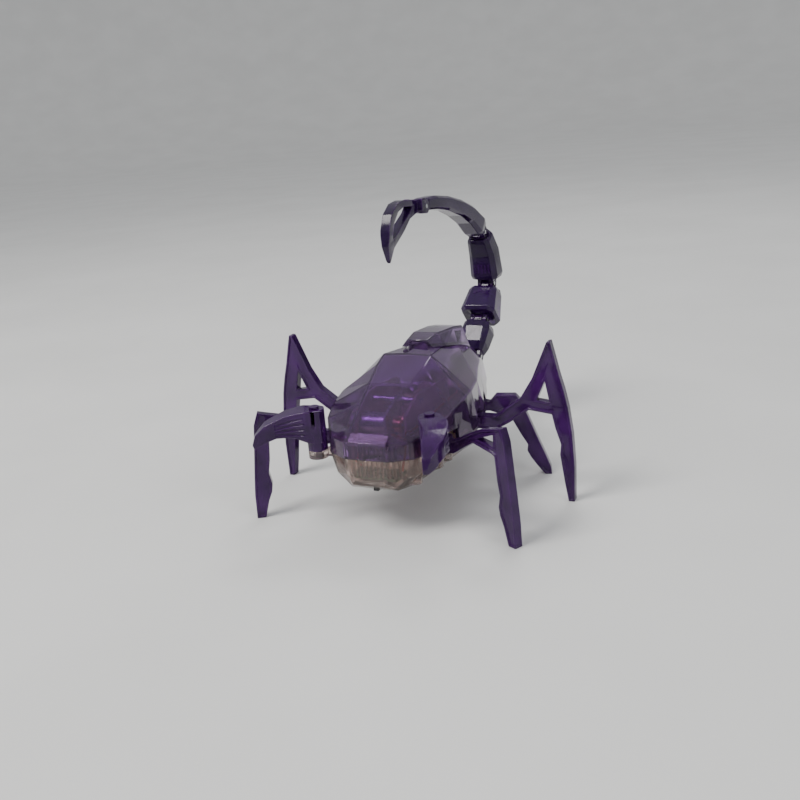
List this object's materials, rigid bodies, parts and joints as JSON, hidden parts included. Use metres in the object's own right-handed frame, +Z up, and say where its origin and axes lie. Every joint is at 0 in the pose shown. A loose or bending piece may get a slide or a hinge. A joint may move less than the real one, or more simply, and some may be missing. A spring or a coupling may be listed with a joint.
{
  "type": "six-legged scorpion toy robot",
  "caption": "Battery walking toy shaped like a scorpion, with a faceted translucent violet shell, swinging legs, two swivelling pincers and a posable arched tail.",
  "frame": {"origin": "middle of the whole robot's footprint, on the ground the feet stand on", "axes": "+Z up; -Y towards the head and pincers, +Y towards the tail; +X to the robot's left side; the body lies on the plane x = 0"},
  "size_m": [0.1024, 0.134, 0.0939],
  "materials": {
    "violet_shell": "glossy, translucent violet",
    "violet_limb": "glossy, translucent dark violet",
    "violet_tail": "glossy, translucent violet",
    "smoke_clear": "glossy, clear smoky",
    "steel": "satin",
    "brass": "satin",
    "gear_plastic": "satin",
    "cell_metal": "polished",
    "board": "satin",
    "black_plastic": "matte",
    "lead_red": "satin",
    "lead_black": "satin"
  },
  "bodies": {
    "chassis": {"carapace": "violet_shell", "tail_hood": "violet_shell", "lower_chassis": "smoke_clear", "hinge_frame": "smoke_clear", "gear_plate_left": "gear_plastic", "gear_plate_right": "gear_plastic", "plate_spacers": "steel", "motor_plate": "steel", "motor_can": "steel", "motor_end_cap": "gear_plastic", "gear_pins": "steel", "leg_pins": "steel", "pincer_pins": "violet_limb", "button_cells": "cell_metal", "battery_contact": "brass", "battery_spring": "brass", "battery_door": "smoke_clear", "door_screw": "steel", "circuit_board": "board", "switch_body": "black_plastic", "battery_lead_red": "lead_red", "battery_lead_black": "lead_black", "motor_leads": "lead_red", "body_screws": "steel", "tail_mount": "violet_tail", "tail_pin_1": "steel"},
    "rotor": {"motor_shaft": "steel", "motor_pinion": "brass"},
    "gear_a": {"gear_a": "gear_plastic"},
    "gear_b": {"gear_b": "gear_plastic"},
    "crank": {"crank_gear": "gear_plastic", "crankshaft": "steel", "crank_left": "brass", "crank_right": "brass"},
    "link_left": {"link_bar_left": "gear_plastic"},
    "link_right": {"link_bar_right": "gear_plastic"},
    "leg_front_left": {"leg_front_left": "violet_limb"},
    "leg_front_right": {"leg_front_right": "violet_limb"},
    "leg_mid_left": {"leg_mid_left": "violet_limb"},
    "leg_mid_right": {"leg_mid_right": "violet_limb"},
    "leg_rear_left": {"leg_rear_left": "violet_limb"},
    "leg_rear_right": {"leg_rear_right": "violet_limb"},
    "pincer_left": {"pincer_left": "violet_limb"},
    "pincer_right": {"pincer_right": "violet_limb"},
    "switch": {"switch_slider": "black_plastic"},
    "tail_1": {"tail_segment_1": "violet_tail", "tail_pin_2": "steel"},
    "tail_2": {"tail_segment_2": "violet_tail", "tail_pin_3": "steel"},
    "tail_3": {"tail_segment_3": "violet_tail", "tail_pin_4": "steel"},
    "tail_4": {"tail_segment_4": "violet_tail", "tail_pin_5": "steel"},
    "stinger": {"stinger": "violet_tail"}
  },
  "joints": [
    {"name": "motor_spin", "type": "hinge", "parent": "chassis", "child": "rotor", "pos_m": [0, -0.038, 0.03], "axis": [1, 0, 0], "continuous": true},
    {"name": "gear_a_spin", "type": "hinge", "parent": "chassis", "child": "gear_a", "pos_m": [0, -0.03, 0.024], "axis": [1, 0, 0], "continuous": true},
    {"name": "gear_b_spin", "type": "hinge", "parent": "chassis", "child": "gear_b", "pos_m": [0, -0.022, 0.03], "axis": [1, 0, 0], "continuous": true},
    {"name": "crank_spin", "type": "hinge", "parent": "chassis", "child": "crank", "pos_m": [0, -0.014, 0.024], "axis": [1, 0, 0], "continuous": true},
    {"name": "leg_mid_left_swing", "type": "hinge", "parent": "chassis", "child": "leg_mid_left", "pos_m": [0.0179, -0.014, 0.024], "axis": [0, 0, 1], "range_deg": [-12, 12]},
    {"name": "leg_mid_right_swing", "type": "hinge", "parent": "chassis", "child": "leg_mid_right", "pos_m": [-0.0179, -0.014, 0.024], "axis": [0, 0, 1], "range_deg": [-12, 12]},
    {"name": "leg_front_left_swing", "type": "hinge", "parent": "chassis", "child": "leg_front_left", "pos_m": [0.0172, -0.035, 0.024], "axis": [0, 0, 1], "range_deg": [-12, 12]},
    {"name": "leg_front_right_swing", "type": "hinge", "parent": "chassis", "child": "leg_front_right", "pos_m": [-0.0172, -0.035, 0.024], "axis": [0, 0, 1], "range_deg": [-12, 12]},
    {"name": "leg_rear_left_swing", "type": "hinge", "parent": "chassis", "child": "leg_rear_left", "pos_m": [0.0135, 0.001, 0.024], "axis": [0, 0, 1], "range_deg": [-12, 12]},
    {"name": "leg_rear_right_swing", "type": "hinge", "parent": "chassis", "child": "leg_rear_right", "pos_m": [-0.0135, 0.001, 0.024], "axis": [0, 0, 1], "range_deg": [-12, 12]},
    {"name": "link_left_slide", "type": "slide", "parent": "chassis", "child": "link_left", "axis": [0, 1, 0], "range_m": [-0.00093, 0.00093]},
    {"name": "link_right_slide", "type": "slide", "parent": "chassis", "child": "link_right", "axis": [0, 1, 0], "range_m": [-0.00093, 0.00093]},
    {"name": "pincer_left_turn", "type": "hinge", "parent": "chassis", "child": "pincer_left", "pos_m": [0.0185, -0.0485, 0.03], "axis": [0, 0, 1], "range_deg": [-8, 40]},
    {"name": "pincer_right_turn", "type": "hinge", "parent": "chassis", "child": "pincer_right", "pos_m": [-0.0185, -0.0485, 0.03], "axis": [0, 0, 1], "range_deg": [-5, 45]},
    {"name": "tail_root_bend", "type": "hinge", "parent": "chassis", "child": "tail_1", "pos_m": [0, 0.0415, 0.0295], "axis": [1, 0, 0], "range_deg": [-15, 3]},
    {"name": "tail_bend_2", "type": "hinge", "parent": "tail_1", "child": "tail_2", "pos_m": [0, 0.0505, 0.0415], "axis": [1, 0, 0], "range_deg": [-15, 3]},
    {"name": "tail_bend_3", "type": "hinge", "parent": "tail_2", "child": "tail_3", "pos_m": [0, 0.0614, 0.0536], "axis": [1, 0, 0], "range_deg": [-15, 3]},
    {"name": "tail_bend_4", "type": "hinge", "parent": "tail_3", "child": "tail_4", "pos_m": [0, 0.0536, 0.0744], "axis": [1, 0, 0], "range_deg": [-15, 5]},
    {"name": "stinger_bend", "type": "hinge", "parent": "tail_4", "child": "stinger", "pos_m": [0, -0.002, 0.0904], "axis": [1, 0, 0], "range_deg": [-15, 8]},
    {"name": "switch_slide", "type": "slide", "parent": "chassis", "child": "switch", "axis": [1, 0, 0], "range_m": [0, 0.0012]}
  ],
  "couplings": [
    {"joint": "gear_a_spin", "follows": "motor_spin", "ratio": -0.25},
    {"joint": "gear_b_spin", "follows": "motor_spin", "ratio": 0.0625},
    {"joint": "crank_spin", "follows": "motor_spin", "ratio": -0.015625},
    {"joint": "leg_mid_right_swing", "follows": "leg_mid_left_swing", "ratio": 1},
    {"joint": "leg_front_left_swing", "follows": "leg_mid_left_swing", "ratio": -1},
    {"joint": "leg_rear_left_swing", "follows": "leg_mid_left_swing", "ratio": -1},
    {"joint": "leg_front_right_swing", "follows": "leg_mid_left_swing", "ratio": -1},
    {"joint": "leg_rear_right_swing", "follows": "leg_mid_left_swing", "ratio": -1},
    {"joint": "link_left_slide", "follows": "leg_mid_left_swing", "m_per_rad": 0.0041694},
    {"joint": "link_right_slide", "follows": "leg_mid_left_swing", "m_per_rad": -0.0041694}
  ]
}
